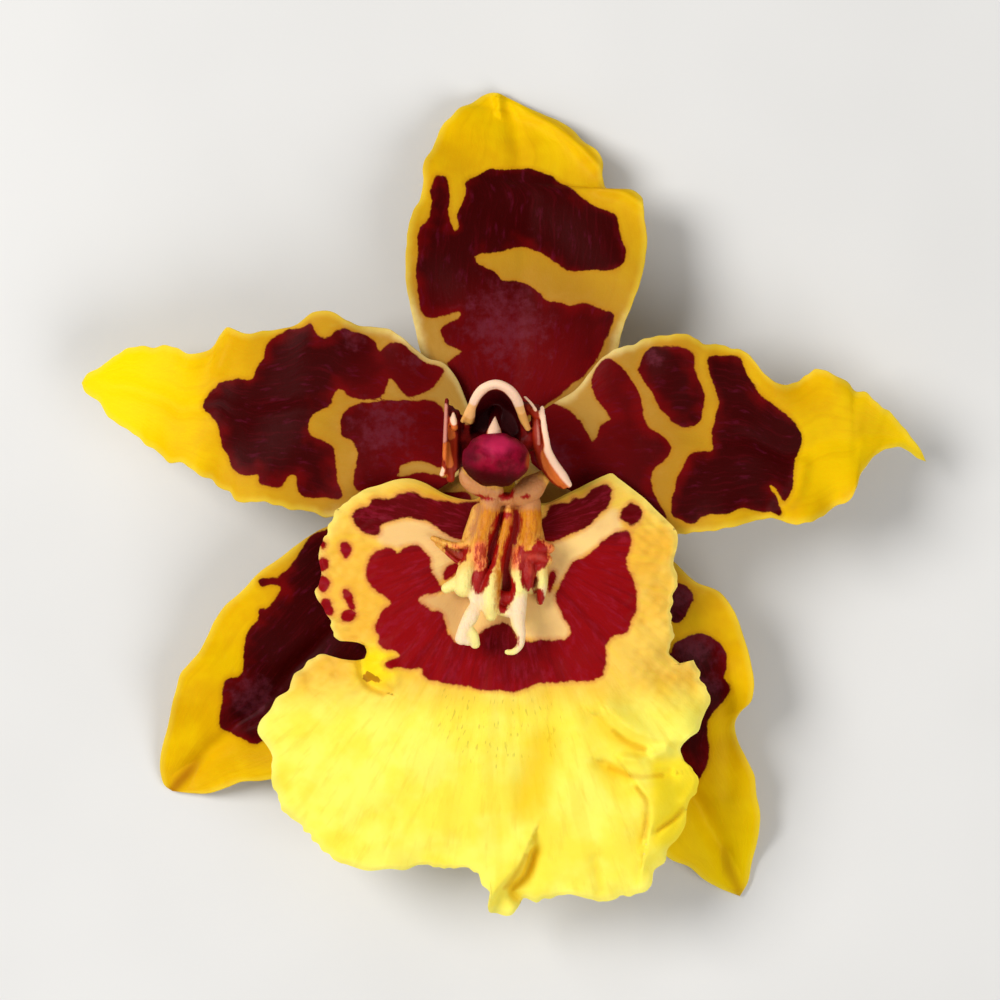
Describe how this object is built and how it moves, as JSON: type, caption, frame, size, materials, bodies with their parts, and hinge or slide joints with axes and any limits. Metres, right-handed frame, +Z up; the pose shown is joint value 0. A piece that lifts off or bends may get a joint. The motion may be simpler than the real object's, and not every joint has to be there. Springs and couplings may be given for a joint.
{
  "type": "oncidium orchid",
  "caption": "One oncidium-type orchid bloom as picked, lying face up: blotched sepals and petals, a broad frilled lip with a fleshy crest, a hooded column and its own stalk.",
  "frame": {"origin": "on the surface the bloom lies on, under the middle of its bounding box", "axes": "+Z up out of the bloom's face, +Y towards the tip of the dorsal sepal, +X across the petals to the right as seen from the front"},
  "size_m": [0.0787, 0.0763, 0.0209],
  "materials": {
    "blotched_tepal": "satin, waxy, golden yellow with maroon blotches",
    "lip_blade": "satin, finely veined, lemon yellow with crimson blotches",
    "lip_crest": "satin, fleshy, orange and cream with maroon stripes",
    "column_flesh": "satin, fleshy, maroon with a cream rim",
    "anther_cap": "glossy, magenta-crimson",
    "pollinium": "waxy yellow",
    "stipe": "translucent cream",
    "stalk": "satin, green flushed with brown"
  },
  "bodies": {
    "root": {"dorsal_sepal": "blotched_tepal", "lateral_sepal_left": "blotched_tepal", "lateral_sepal_right": "blotched_tepal", "petal_left": "blotched_tepal", "petal_right": "blotched_tepal", "lip": "lip_blade", "lip_callus": "lip_crest", "column": "column_flesh", "anther_cap": "anther_cap", "pollinium_left": "pollinium", "pollinium_right": "pollinium", "pollinarium_stipe": "stipe", "ovary_pedicel": "stalk"}
  },
  "joints": []
}
